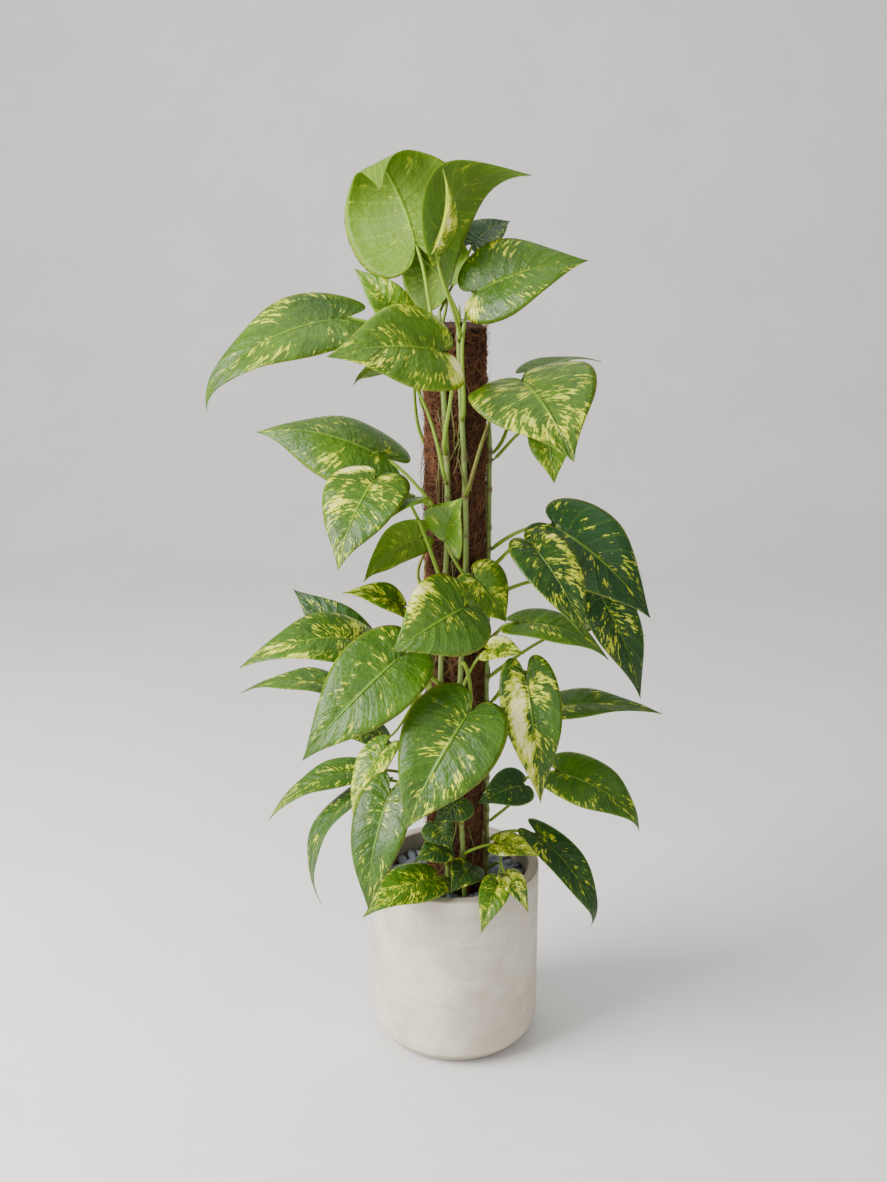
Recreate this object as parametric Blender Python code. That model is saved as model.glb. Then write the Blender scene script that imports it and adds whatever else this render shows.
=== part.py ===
import bpy
import numpy as np

# Potted golden pothos climbing a coir pole. Metres, +Z up, the pot's flat base on Z = 0,
# its axis on Z, the front of the plant towards -Y.

gap = 0.0003                 # air left between neighbouring pieces

# pot
pot_radius = 0.120
pot_height = 0.270
pot_wall = 0.015
pot_floor = 0.018
pot_foot_round = 0.038       # large outside round where the wall meets the flat base
pot_inner_round = 0.024
pot_rim_round = 0.003
pot_sides = 48

# soil and pebbles
soil_depth_below_rim = 0.040
pebble_thickness = 0.013
pebble_bump = 0.005
pebble_sides = 36

# coir pole
pole_radius = 0.040
pole_height_above_rim = 0.768
pole_sides = 20

# climbing vines
vine_radius = 0.0045
vine_foot_depth = 0.030      # how far each vine goes down into the soil
vine_sides = 8
vine_step = 0.075

# leaves
petiole_radius = 0.0019
petiole_sheath = 1.35        # the stalk widens by this factor where it leaves the vine
leaf_thickness = 0.0011
midrib_depth = 0.0016

rim_height = pot_height
soil_top = pot_height - soil_depth_below_rim
vine_ring = pole_radius + gap + vine_radius

# each vine: direction from the pole's axis in degrees (0 = front, 90 = right), how far it
# sways round the pole, and the height of its growing end above the rim
vines = {
    "vine_front_left": (-20, 7, 0.790),
    "vine_front_right": (12, 6, 0.795),
    "vine_right": (80, 8, 0.640),
    "vine_back_left": (-125, 8, 0.700),
}

# each leaf: name, the vine it grows on, the height of its node above the rim, how far the stalk
# reaches (right, back, up), the blade from notch to tip (right, back, up), the way its upper side
# faces, blade width, bow along the midrib and fold up each side of it
leaves = [
    ("leaf_crown_left", "vine_front_left", 0.755, (-0.03, 0.095, 0.11), (-0.065, -0.04, 0.125),
     (-0.1, 0.85, 0.5), 0.171, 0.36, 0.05),
    ("leaf_crown_right", "vine_front_right", 0.775, (-0.025, 0.0, 0.09), (0.115, 0.015, 0.09),
     (-0.6, 0.62, 0.5), 0.135, 0.36, 0.1),
    ("leaf_crown_new", "vine_front_right", 0.755, (-0.03, -0.04, 0.12), (0.01, 0.015, 0.09),
     (0.9, -0.4, 0), 0.034, 0.1, 0.8),
    ("leaf_crown_back", "vine_back_left", 0.665, (0.025, 0.005, 0.15), (-0.07, 0.04, 0.065),
     (-0.2, 0.8, 0.3), 0.105, 0.1, 0.1),
    ("leaf_crown_far", "vine_back_left", 0.64, (0.06, 0.025, 0.225), (0.05, 0.05, 0.025),
     (0, -0.5, 0.8), 0.055, 0.1, 0.2),
    ("leaf_upper_right", "vine_front_right", 0.655, (0.015, 0.0, 0.16), (0.14, -0.01, 0.04),
     (-0.05, -0.8, 0.55), 0.105, 0.12, 0.15),
    ("leaf_upper_left_long", "vine_front_left", 0.72, (-0.115, -0.015, 0.065), (-0.19, -0.04, -0.105),
     (0.15, -0.55, 0.8), 0.1, 0.18, 0.1),
    ("leaf_upper_left_back", "vine_back_left", 0.6, (-0.03, -0.005, 0.17), (-0.065, 0.02, 0.065),
     (0.2, -0.8, 0.2), 0.05, 0.13, 0.3),
    ("leaf_upper_front", "vine_front_left", 0.61, (0.0, -0.06, 0.14), (-0.14, -0.07, 0.005),
     (-0.05, -0.75, 0.6), 0.125, 0.1, 0.12),
    ("leaf_upper_left_low", "vine_front_left", 0.57, (-0.06, 0.005, 0.15), (-0.06, -0.015, -0.02),
     (-0.1, 0.5, 0.8), 0.06, 0.15, 0.15),
    ("leaf_upper_right_front", "vine_front_right", 0.555, (0.07, 0.0, 0.15), (0.06, -0.115, -0.08),
     (-0.05, -0.55, 0.8), 0.165, 0.12, 0.15),
    ("leaf_upper_right_under", "vine_right", 0.59, (0.07, 0.0, 0.045), (0.01, -0.03, -0.07),
     (0, -0.8, 0.5), 0.055, 0.1, 0.2),
    ("leaf_upper_right_back", "vine_right", 0.6, (0.05, 0.05, 0.1), (0.1, 0.05, 0.005),
     (0, 0, 1), 0.06, 0.08, 0.2),
    ("leaf_middle_left_under", "vine_front_left", 0.51, (-0.075, 0.01, 0.09), (-0.175, 0.03, 0.03),
     (0.1, -0.6, 0.75), 0.115, 0.14, -0.35),
    ("leaf_middle_left_front", "vine_front_left", 0.43, (-0.085, -0.055, 0.16), (-0.045, -0.07, -0.1),
     (-0.3, -0.8, 0.5), 0.11, 0.12, 0.12),
    ("leaf_middle_left_inner", "vine_front_left", 0.505, (-0.04, -0.055, 0.06), (-0.05, -0.055, -0.03),
     (-0.3, -0.4, 0.8), 0.065, 0.15, 0.25),
    ("leaf_middle_front_folded", "vine_front_right", 0.43, (-0.025, -0.04, 0.075), (0.02, -0.03, 0.065),
     (-0.5, -0.7, 0.3), 0.08, 0.1, 0.3),
    ("leaf_middle_left_lower", "vine_back_left", 0.405, (0.0, -0.075, 0.095), (-0.075, -0.04, -0.05),
     (-0.3, 0.7, 0.5), 0.09, 0.12, 0.15),
    ("leaf_middle_front", "vine_front_right", 0.345, (0.005, -0.08, 0.085), (-0.095, -0.05, -0.045),
     (-0.15, -0.9, 0.4), 0.115, 0.1, 0.1),
    ("leaf_middle_front_small", "vine_front_right", 0.385, (0.01, -0.03, 0.07), (0.045, 0.0, -0.065),
     (0.3, -0.85, 0.4), 0.075, 0.1, 0.15),
    ("leaf_middle_left_small", "vine_front_left", 0.35, (-0.05, -0.04, 0.065), (-0.075, -0.035, 0.03),
     (-0.1, -0.6, 0.8), 0.05, 0.12, 0.2),
    ("leaf_middle_right_top", "vine_right", 0.47, (0.08, -0.025, 0.04), (0.13, -0.03, -0.12),
     (0.25, -0.8, 0.5), 0.115, 0.14, 0.12),
    ("leaf_middle_right_front", "vine_right", 0.445, (0.05, -0.08, 0.055), (0.065, -0.065, -0.105),
     (0.45, -0.85, 0.3), 0.085, 0.1, 0.2),
    ("leaf_middle_right_low", "vine_right", 0.4, (0.14, 0.03, 0.015), (0.07, -0.02, -0.165),
     (0.3, -0.85, 0.4), 0.075, 0.12, 0.15),
    ("leaf_middle_right_flat", "vine_right", 0.345, (0.035, -0.065, 0.045), (0.12, -0.02, -0.045),
     (-0.1, -0.25, 1), 0.07, 0.15, 0.1),
    ("leaf_middle_right_back", "vine_right", 0.29, (0.1, 0.055, 0.045), (0.13, 0.07, -0.03),
     (0, 0, 1), 0.06, 0.1, 0.2),
    ("leaf_middle_right_small", "vine_front_right", 0.275, (0.035, -0.01, 0.07), (0.05, -0.03, 0.005),
     (0, -0.6, 0.8), 0.045, 0.1, 0.2),
    ("leaf_lower_left_streaked", "vine_front_left", 0.29, (-0.1, -0.02, 0.07), (-0.16, -0.05, -0.02),
     (-0.1, -0.5, 0.85), 0.09, 0.15, 0.12),
    ("leaf_lower_left_back", "vine_back_left", 0.27, (-0.09, -0.015, 0.05), (-0.095, 0.04, 0.075),
     (0.2, -0.9, 0.3), 0.07, 0.1, 0.15),
    ("leaf_lower_left_inner", "vine_front_left", 0.245, (-0.055, 0.005, 0.105), (-0.045, 0.0, -0.025),
     (0, -0.8, 0.4), 0.055, 0.1, 0.2),
    ("leaf_lower_left_big", "vine_front_left", 0.235, (-0.045, -0.085, 0.13), (-0.13, -0.045, -0.13),
     (-0.2, -0.85, 0.45), 0.115, 0.1, 0.12),
    ("leaf_lower_left_narrow", "vine_back_left", 0.22, (-0.11, -0.07, 0.06), (-0.145, 0.0, -0.005),
     (-0.1, -0.1, 1), 0.065, 0.12, 0.15),
    ("leaf_lower_front", "vine_front_right", 0.32, (0.01, -0.1, -0.025), (-0.085, -0.045, -0.15),
     (-0.15, -0.9, 0.45), 0.132, 0.14, 0.15),
    ("leaf_lower_right_cream", "vine_right", 0.25, (0.045, -0.08, 0.075), (0.02, -0.05, -0.165),
     (0.1, -0.95, 0.2), 0.08, 0.1, 0.3),
    ("leaf_lower_right_level", "vine_right", 0.18, (0.085, 0.04, 0.045), (0.16, -0.01, -0.005),
     (0, -0.25, 1), 0.07, 0.08, 0.15),
    ("leaf_lower_right_arched", "vine_right", 0.1, (0.095, 0.005, 0.04), (0.125, -0.03, -0.075),
     (0.1, -0.5, 0.8), 0.085, 0.15, 0.12),
    ("leaf_lower_right_inner", "vine_right", 0.065, (0.045, -0.04, 0.075), (-0.065, -0.03, -0.015),
     (0.1, -0.6, 0.7), 0.06, 0.12, 0.15),
    ("leaf_lower_front_inner", "vine_front_right", 0.19, (0.025, -0.01, 0.005), (0.04, -0.01, 0.05),
     (0, -0.8, 0.5), 0.045, 0.1, 0.2),
    ("leaf_lower_left_thin", "vine_back_left", 0.09, (-0.095, -0.07, 0.07), (-0.13, -0.02, -0.07),
     (-0.1, -0.3, 1), 0.055, 0.15, 0.15),
    ("leaf_lower_left_yellow", "vine_front_left", 0.145, (-0.075, -0.025, 0.065), (-0.045, -0.03, -0.095),
     (-0.6, -0.7, 0.3), 0.055, 0.12, 0.25),
    ("leaf_lower_left_curved", "vine_back_left", 0.05, (-0.08, -0.09, 0.095), (-0.07, -0.03, -0.17),
     (-0.75, -0.3, 0.4), 0.06, 0.24, 0.2),
    ("leaf_lower_left_hanging", "vine_front_left", 0.1, (-0.07, -0.09, 0.075), (-0.03, -0.04, -0.155),
     (-0.35, -0.9, 0.2), 0.08, 0.12, 0.15),
    ("leaf_lower_left_under", "vine_back_left", 0.24, (-0.055, -0.05, -0.04), (-0.06, -0.02, 0.01),
     (0, -0.4, 0.9), 0.06, 0.12, 0.15),
    ("leaf_rim_left", "vine_front_left", -0.005, (-0.02, -0.04, 0.025), (-0.095, -0.065, -0.025),
     (-0.1, -0.5, 0.85), 0.07, 0.14, 0.15),
    ("leaf_rim_inner_upper", "vine_front_right", 0.085, (0.0, -0.04, 0.055), (-0.035, -0.02, -0.025),
     (-0.1, -0.8, 0.5), 0.054, 0.12, 0.15),
    ("leaf_rim_inner_lower", "vine_front_left", 0.06, (-0.015, -0.04, 0.045), (0.025, -0.03, -0.025),
     (-0.1, -0.8, 0.5), 0.048, 0.12, 0.15),
    ("leaf_rim_front_left", "vine_front_left", 0.02, (0.0, -0.02, 0.035), (-0.045, -0.02, -0.01),
     (0, -0.6, 0.8), 0.045, 0.15, 0.2),
    ("leaf_rim_front_middle", "vine_front_right", 0.015, (0.01, -0.015, 0.01), (-0.03, -0.05, -0.015),
     (0.1, -0.6, 0.8), 0.05, 0.12, 0.15),
    ("leaf_rim_front_yellow", "vine_right", -0.01, (0.01, -0.095, 0.03), (-0.025, -0.055, -0.05),
     (-0.1, -0.85, 0.5), 0.042, 0.15, 0.25),
    ("leaf_rim_front_streaked", "vine_right", 0.015, (0.02, -0.085, 0.01), (0.03, -0.055, -0.03),
     (0.2, -0.7, 0.6), 0.035, 0.15, 0.2),
    ("leaf_rim_right_yellow", "vine_front_right", 0.035, (0.045, -0.015, 0.025), (0.06, -0.03, -0.005),
     (0, -0.5, 0.85), 0.042, 0.1, 0.2),
    ("leaf_rim_right_long", "vine_right", 0.035, (0.065, -0.035, 0.025), (0.09, -0.03, -0.135),
     (0.45, -0.6, 0.6), 0.06, 0.15, 0.2),
]


def vine_centre(vine, height):
    """Point on a vine's centre line at a height above the floor."""
    direction, sway, _ = vines[vine]
    angle = np.radians(direction + sway * np.sin((height - rim_height) * 11 + direction + 3))
    return np.array([vine_ring * np.sin(angle), -vine_ring * np.cos(angle), height])


def vine_heights(vine):
    """Heights of the rings a vine is drawn through, from its foot in the soil to its growing end."""
    bottom = soil_top - vine_foot_depth
    top = rim_height + vines[vine][2]
    return np.linspace(bottom, top, int((top - bottom) / vine_step) + 2)


def outward(vine, height):
    point = vine_centre(vine, height)
    return np.array([point[0], point[1], 0]) / np.hypot(point[0], point[1])


def bezier(p0, p1, p2, p3, t):
    t = np.asarray(t, float)[:, None]
    return (1 - t) ** 3 * p0 + 3 * (1 - t) ** 2 * t * p1 + 3 * (1 - t) * t ** 2 * p2 + t ** 3 * p3


def bezier_tangent(p0, p1, p2, p3, t):
    t = np.asarray(t, float)[:, None]
    d = (1 - t) ** 2 * (p1 - p0) + 2 * (1 - t) * t * (p2 - p1) + t ** 2 * (p3 - p2)
    return d / np.linalg.norm(d, axis=1, keepdims=True)


def unit(v):
    v = np.asarray(v, float)
    return v / np.linalg.norm(v)


# heart-shaped half outline as fractions of the leaf's length and width: from the notch round the
# basal lobe to the widest place, then on to the drip tip
lobe_curve = [np.array(p) for p in [(0.0, 0.0), (-0.20, 0.06), (-0.17, 0.49), (0.20, 0.50)]]
tip_curve = [np.array(p) for p in [(0.20, 0.50), (0.52, 0.51), (0.74, 0.13), (1.0, 0.0)]]
blade_rows = np.array([0.0, 0.09, 0.22, 0.36, 0.50, 0.66, 0.83, 0.95])
petiole_rows = np.array([0.0, 0.3, 0.65, 1.0])


def half_outline(s):
    s = np.asarray(s, float)
    low = bezier(*lobe_curve, np.clip(s / 0.45, 0, 1))
    high = bezier(*tip_curve, np.clip((s - 0.45) / 0.55, 0, 1))
    return np.where((s < 0.45)[:, None], low, high)


def leaf_frame(blade, face):
    """Unit directions along the leaf, across it and out of its upper side."""
    along = unit(blade)
    up = np.asarray(face, float)
    up = unit(up - up.dot(along) * along)
    return along, np.cross(up, along), up


def leaf_rings(vine, node, reach, blade, face, width, arch, fold):
    """Rings of eight points: five over the upper side, three under it.

    The stalk is a curve from the vine to the notch of the blade, which opens in a small collar.
    The blade is laid on a curved sheet:
    height = length * arch * 4x(1 - x) + fold * distance from the midrib.
    """
    height = rim_height + node
    away = outward(vine, height)
    start = vine_centre(vine, height) + away * (vine_radius + gap)
    base = start + np.asarray(reach, float)
    length = np.linalg.norm(blade)
    along, across, up = leaf_frame(blade, face)
    size = 0.7 + 0.3 * min(1.0, length / 0.16)

    span = np.linalg.norm(base - start)
    course = unit(base - start)
    course = unit(course - min(0.0, course.dot(along)) * along + 0.5 * along)
    collar = 1.4 * petiole_radius * size
    joint = base - 1.8 * collar * course
    p1 = start + 0.22 * span * away + 0.20 * span * np.array([0, 0, 1.0])
    p2 = joint - 0.34 * span * course
    centres = bezier(start, p1, p2, joint, petiole_rows)
    tangents = bezier_tangent(start, p1, p2, joint, petiole_rows)
    tangents[0] = away

    rings = []
    side = across
    for centre, tangent, row in reversed(list(zip(centres, tangents, petiole_rows))):
        side = unit(side - side.dot(tangent) * tangent)
        top = np.cross(tangent, side)
        radius = petiole_radius * size * (1 + (petiole_sheath - 1) * (1 - row) ** 2)
        angle = np.radians([180, 135, 90, 45, 0, -45, -90, -135])
        ring = centre + radius * (np.cos(angle)[:, None] * side + np.sin(angle)[:, None] * top)
        rings.insert(0, ring)

    middle = blade_rows ** 1.7
    margin = half_outline(blade_rows)
    for mid, (mx, my), near in zip(middle, margin, (1 - blade_rows) ** 6):
        lane = np.array([-1, -0.5, 0, 0.5, 1, 0.5, 0, -0.5])
        x = mid + (mx - mid) * np.abs(lane)
        y = my * lane * width + collar * near * lane
        z = length * arch * 4 * x * (1 - x) + fold * np.abs(y)
        skin = np.array([0, 0.5, 0.5, 0.5, 0, -0.5, -0.5, -0.5]) * leaf_thickness * size
        skin[6] -= midrib_depth * size * (1 - mid)
        x = length * x + 1.3 * collar * near * (1 - 2 * np.abs(lane))
        ring = base + x[:, None] * along + y[:, None] * across + (z + skin)[:, None] * up
        rings.append(ring)
    tip = base + length * along
    return rings, tip


def loft(rings, tip=None):
    """Vertices and faces of a closed skin through rings of equal count. The second half of each ring
    is split on the other diagonal, so that a leaf's two sides fold along the same lines."""
    count = len(rings[0])
    verts = [tuple(p) for ring in rings for p in ring]
    faces = [tuple(range(count))[::-1]]
    for r in range(len(rings) - 1):
        for i in range(count):
            j = (i + 1) % count
            a, b = r * count + i, r * count + j
            if i < count // 2:
                faces.append((a, b, b + count))
                faces.append((a, b + count, a + count))
            else:
                faces.append((a, b, a + count))
                faces.append((b, b + count, a + count))
    last = (len(rings) - 1) * count
    if tip is None:
        faces.append(tuple(range(last, last + count)))
    else:
        verts.append(tuple(tip))
        for i in range(count):
            faces.append((last + i, last + (i + 1) % count, len(verts) - 1))
    return verts, faces


def spin(profile, sides):
    """Closed skin of a profile (radius, height) turned round Z; the profile is a closed loop, and
    points on the axis become single poles."""
    verts = []
    rows = []
    for radius, height in profile:
        if radius == 0:
            rows.append([len(verts)] * sides)
            verts.append((0, 0, height))
            continue
        start = len(verts)
        rows.append(list(range(start, start + sides)))
        for i in range(sides):
            a = 2 * np.pi * i / sides
            verts.append((radius * np.sin(a), -radius * np.cos(a), height))
    faces = []
    for k in range(len(rows)):
        low, high = rows[k], rows[(k + 1) % len(rows)]
        for i in range(sides):
            j = (i + 1) % sides
            corner = list(dict.fromkeys((low[i], low[j], high[j], high[i])))
            if len(corner) > 2:
                faces.append(tuple(corner))
    return verts, faces


def arc(centre_radius, centre_height, radius, first, last, steps):
    """Profile points along a rounded corner; angles in degrees."""
    a = np.radians(np.linspace(first, last, steps + 1))
    return [(centre_radius + radius * np.cos(t), centre_height + radius * np.sin(t)) for t in a]


def material(name, colour, roughness):
    mat = bpy.data.materials.new(name)
    mat.use_nodes = True
    shader = mat.node_tree.nodes["Principled BSDF"]
    shader.inputs["Base Color"].default_value = (*colour, 1.0)
    shader.inputs["Roughness"].default_value = roughness
    return mat


def outward_faces(verts, faces):
    """The faces wound so that they point out of the closed skin."""
    points = np.array(verts, np.float32).astype(float)
    volume = 0.0
    for face in faces:
        for k in range(1, len(face) - 1):
            a, b, c = points[face[0]], points[face[k]], points[face[k + 1]]
            volume += a.dot(np.cross(b, c))
    return faces if volume > 0 else [tuple(reversed(face)) for face in faces]


def add_object(name, verts, faces, mat, smooth_angle=None):
    mesh = bpy.data.meshes.new(name)
    mesh.from_pydata([tuple(map(float, v)) for v in verts], [], outward_faces(verts, faces))
    obj = bpy.data.objects.new(name, mesh)
    bpy.context.scene.collection.objects.link(obj)
    mesh.materials.append(mat)
    if smooth_angle is not None:
        mesh.shade_smooth()
        mesh.set_sharp_from_angle(angle=np.radians(smooth_angle))
    return obj


for old in list(bpy.data.objects):
    bpy.data.objects.remove(old, do_unlink=True)

concrete = material("pale_concrete", (0.72, 0.68, 0.61), 0.75)
potting_mix = material("potting_mix", (0.045, 0.030, 0.020), 0.95)
slate = material("slate_pebble", (0.09, 0.105, 0.135), 0.6)
coir = material("coir_fibre", (0.20, 0.075, 0.035), 0.95)
stem_green = material("green_stem", (0.22, 0.32, 0.06), 0.5)
leaf_tints = {
    "crown": (0.17, 0.30, 0.035),
    "upper": (0.14, 0.31, 0.04),
    "middle": (0.09, 0.24, 0.05),
    "lower": (0.10, 0.26, 0.04),
    "rim": (0.06, 0.19, 0.04),
}
leaf_materials = {}
for tier, tint in leaf_tints.items():
    leaf_materials[tier] = material(tier + "_leaf", tint, 0.42)

# pot: flat base, big round foot, straight wall, narrow rounded rim, hollow inside
inner_radius = pot_radius - pot_wall
pot_profile = [(0, 0)]
pot_profile += arc(pot_radius - pot_foot_round, pot_foot_round, pot_foot_round, -90, 0, 6)
pot_profile += arc(pot_radius - pot_rim_round, rim_height - pot_rim_round, pot_rim_round, 0, 90, 2)
pot_profile += arc(inner_radius + pot_rim_round, rim_height - pot_rim_round, pot_rim_round, 90, 180, 2)
pot_profile += arc(inner_radius - pot_inner_round, pot_floor + pot_inner_round, pot_inner_round, 0, -90, 4)
pot_profile += [(0, pot_floor)]
verts, faces = spin(pot_profile, pot_sides)
add_object("pot", verts, faces, concrete, 40)

# soil: fills the pot up to its own level, with a hole for the pole and one for each vine
earth_radius = inner_radius - gap / np.cos(np.pi / pot_sides) - 0.0002
hole_radius = (pole_radius + gap) / np.cos(np.pi / pole_sides)
earth_floor = pot_floor + gap
earth_corner = pot_inner_round
soil_profile = [(hole_radius, earth_floor)]
soil_profile += arc(earth_radius - earth_corner, earth_floor + earth_corner, earth_corner, -90, 0, 4)
soil_profile += [(earth_radius, soil_top), (hole_radius, soil_top)]
verts, faces = spin(soil_profile, pot_sides)
soil = add_object("soil", verts, faces, potting_mix, 40)
bore_radius = vine_radius + gap + 0.0003
for vine in vines:
    path = [vine_centre(vine, h) for h in vine_heights(vine)[:3]]
    path[0] = path[0] - np.array([0, 0, gap])
    turn = np.arange(12) * 2 * np.pi / 12
    bore = bore_radius / np.cos(np.pi / 12)
    rings = [c + bore * np.column_stack([np.cos(turn), np.sin(turn), 0 * turn]) for c in path]
    verts, faces = loft(rings)
    cutter = add_object("cut_for_" + vine, verts, faces, potting_mix)
    cutter.hide_render = True
    cutter.display_type = "WIRE"
    cut = soil.modifiers.new("hole_" + vine, "BOOLEAN")
    cut.operation = "DIFFERENCE"
    cut.solver = "EXACT"
    cut.object = cutter

# pebbles: one lumpy ring of small stones lying on the soil between the vines and the pot
ring_in = vine_ring + vine_radius + 0.004
ring_out = earth_radius - 0.001
lanes = 6
pebble_verts = []
for lane in range(lanes):
    radius = ring_in + (ring_out - ring_in) * lane / (lanes - 1)
    for i in range(pebble_sides):
        a = 2 * np.pi * (i + 0.5 * (lane % 2)) / pebble_sides
        lump = np.sin(a * 11 + lane * 2.1) * np.cos(a * 7 - lane * 1.3)
        edge = 0.55 if lane in (0, lanes - 1) else 1.0
        top = soil_top + gap + edge * pebble_thickness + pebble_bump * lump
        pebble_verts.append((radius * np.sin(a), -radius * np.cos(a), top))
for radius in (ring_out, ring_in):
    for i in range(pebble_sides):
        a = 2 * np.pi * (i + 0.5 * ((lanes - 1) % 2 if radius == ring_out else 0)) / pebble_sides
        pebble_verts.append((radius * np.sin(a), -radius * np.cos(a), soil_top + gap))
pebble_faces = []
for lane in range(lanes + 2):
    low = lane * pebble_sides
    high = ((lane + 1) % (lanes + 2)) * pebble_sides
    for i in range(pebble_sides):
        j = (i + 1) % pebble_sides
        if lane < lanes - 1 and lane % 2 == 1:
            pebble_faces += [(low + i, low + j, high + j), (low + i, high + j, high + i)]
        else:
            pebble_faces += [(low + i, low + j, high + i), (low + j, high + j, high + i)]
add_object("pebble_layer", pebble_verts, pebble_faces, slate, 60)

# coir pole: one plain round pole standing on the pot's floor, pushed through the soil
pole_top = rim_height + pole_height_above_rim
pole_profile = [(0, earth_floor), (pole_radius, earth_floor), (pole_radius, pole_top - 0.004)]
pole_profile += [(pole_radius - 0.005, pole_top), (0, pole_top)]
verts, faces = spin(pole_profile, pole_sides)
add_object("coir_pole", verts, faces, coir, 50)

# vines: tubes held against the pole, tapering at the growing end
for vine in vines:
    heights = vine_heights(vine)
    turn = np.arange(vine_sides) * 2 * np.pi / vine_sides
    disc = np.column_stack([np.cos(turn), np.sin(turn), 0 * turn])
    rings = []
    for h in heights:
        centre = vine_centre(vine, h)
        rings.append(centre + vine_radius * disc)
    verts, faces = loft(rings, rings[-1].mean(axis=0) + np.array([0, 0, 0.006]))
    add_object(vine, verts, faces, stem_green, 60)

# leaves: one closed body each, stalk and blade together
for name, vine, node, reach, blade, face, width, bow, fold in leaves:
    rings, tip = leaf_rings(vine, node, reach, blade, face, width, bow, fold)
    verts, faces = loft(rings, tip)
    add_object(name, verts, faces, leaf_materials[name.split("_")[1]], 60)

print(len(bpy.data.objects), "objects")
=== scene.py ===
import bpy
import numpy as np
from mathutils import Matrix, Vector


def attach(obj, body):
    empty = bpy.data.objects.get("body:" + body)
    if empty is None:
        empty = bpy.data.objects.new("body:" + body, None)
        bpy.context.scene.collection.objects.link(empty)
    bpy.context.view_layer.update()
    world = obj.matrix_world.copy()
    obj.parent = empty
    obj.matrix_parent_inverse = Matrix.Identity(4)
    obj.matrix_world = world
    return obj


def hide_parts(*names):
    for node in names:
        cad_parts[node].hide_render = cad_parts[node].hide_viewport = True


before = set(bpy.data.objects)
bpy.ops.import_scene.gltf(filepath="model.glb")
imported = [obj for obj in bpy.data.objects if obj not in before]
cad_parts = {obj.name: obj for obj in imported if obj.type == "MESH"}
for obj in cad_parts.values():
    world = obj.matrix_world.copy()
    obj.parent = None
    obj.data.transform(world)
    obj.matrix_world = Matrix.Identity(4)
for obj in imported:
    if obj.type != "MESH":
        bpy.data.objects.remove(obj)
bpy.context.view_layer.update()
print("frame loaded:", len(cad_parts), "nodes")

view = {
    "distance": 1.94,          # from the pot's axis, metres
    "height": 1.305,
    "downAngle": 17.9,         # degrees below level
    "lens": 45.7,
    "shift": -0.010,
}


def addCamera():
    data = bpy.data.cameras.new("frontCamera")
    data.lens = view["lens"]
    data.shift_x = view["shift"]
    data.clip_start = 0.05
    camera = bpy.data.objects.new("frontCamera", data)
    camera.location = (0, -view["distance"], view["height"])
    camera.rotation_euler = (np.radians(90 - view["downAngle"]), 0, 0)
    bpy.context.scene.collection.objects.link(camera)
    bpy.context.scene.camera = camera


lights = {
    # name: place, size, power, colour, point it is turned to
    "window": ((-2.2, -1.0, 1.7), (1.7, 1.9), 215, (1.0, 0.985, 0.96), (0, 0, 0.55)),
    "frontFill": ((0.9, -2.8, 2.2), (2.6, 1.8), 30, (1.0, 0.98, 0.95), (0, 0, 0.6)),
    "overhead": ((-0.2, 0.2, 3.0), (2.4, 2.4), 34, (1.0, 1.0, 1.0), (0, 0, 0.5)),
}
worldLight = {"colour": (0.93, 0.94, 0.96, 1), "strength": 0.46}


def addLights():
    for name, (place, size, power, colour, target) in lights.items():
        data = bpy.data.lights.new(name, "AREA")
        data.shape = "RECTANGLE"
        data.size, data.size_y = size
        data.energy = power
        data.color = colour
        lamp = bpy.data.objects.new(name, data)
        lamp.location = place
        lamp.rotation_euler = (Vector(target) - Vector(place)).to_track_quat("-Z", "Y").to_euler()
        bpy.context.scene.collection.objects.link(lamp)
    world = bpy.data.worlds.new("studio")
    world.use_nodes = True
    background = world.node_tree.nodes["Background"]
    background.inputs["Color"].default_value = worldLight["colour"]
    background.inputs["Strength"].default_value = worldLight["strength"]
    bpy.context.scene.world = world


# node helpers: one call adds a node, sets its options and joins or sets its inputs
def put(tree, kind, inputs=None, **options):
    node = tree.nodes.new(kind)
    for key, value in options.items():
        setattr(node, key, value)
    for key, value in (inputs or {}).items():
        if isinstance(value, bpy.types.NodeSocket):
            tree.links.new(value, node.inputs[key])
        else:
            node.inputs[key].default_value = value
    return node


def calc(tree, operation, first, second=0.0, third=0.0, clamp=False):
    inputs = {0: first, 1: second, 2: third}
    return put(tree, "ShaderNodeMath", inputs, operation=operation, use_clamp=clamp).outputs[0]


def blendColour(tree, factor, first, second, kind="MIX"):
    node = put(tree, "ShaderNodeMix", data_type="RGBA", blend_type=kind)
    for socket, value in ((node.inputs[0], factor), (node.inputs[6], first), (node.inputs[7], second)):
        if isinstance(value, bpy.types.NodeSocket):
            tree.links.new(value, socket)
        else:
            socket.default_value = value
    return node.outputs[2]


def rangeOf(tree, value, low, high, toLow=0.0, toHigh=1.0):
    inputs = {"Value": value, "From Min": low, "From Max": high, "To Min": toLow, "To Max": toHigh}
    node = put(tree, "ShaderNodeMapRange", inputs, interpolation_type="SMOOTHSTEP")
    return node.outputs["Result"]


def noiseOf(tree, vector, scale, detail=3.0, rough=0.55):
    inputs = {"Vector": vector, "Scale": scale, "Detail": detail, "Roughness": rough}
    return put(tree, "ShaderNodeTexNoise", inputs).outputs[0]


def newGroup(name, inputs, outputs):
    group = bpy.data.node_groups.new(name, "ShaderNodeTree")
    for label, kind, value in inputs:
        socket = group.interface.new_socket(label, in_out="INPUT", socket_type="NodeSocket" + kind)
        if value is not None:
            socket.default_value = value
    for label, kind in outputs:
        group.interface.new_socket(label, in_out="OUTPUT", socket_type="NodeSocket" + kind)
    source = group.nodes.new("NodeGroupInput")
    sink = group.nodes.new("NodeGroupOutput")
    return group, source.outputs, sink.inputs


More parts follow.
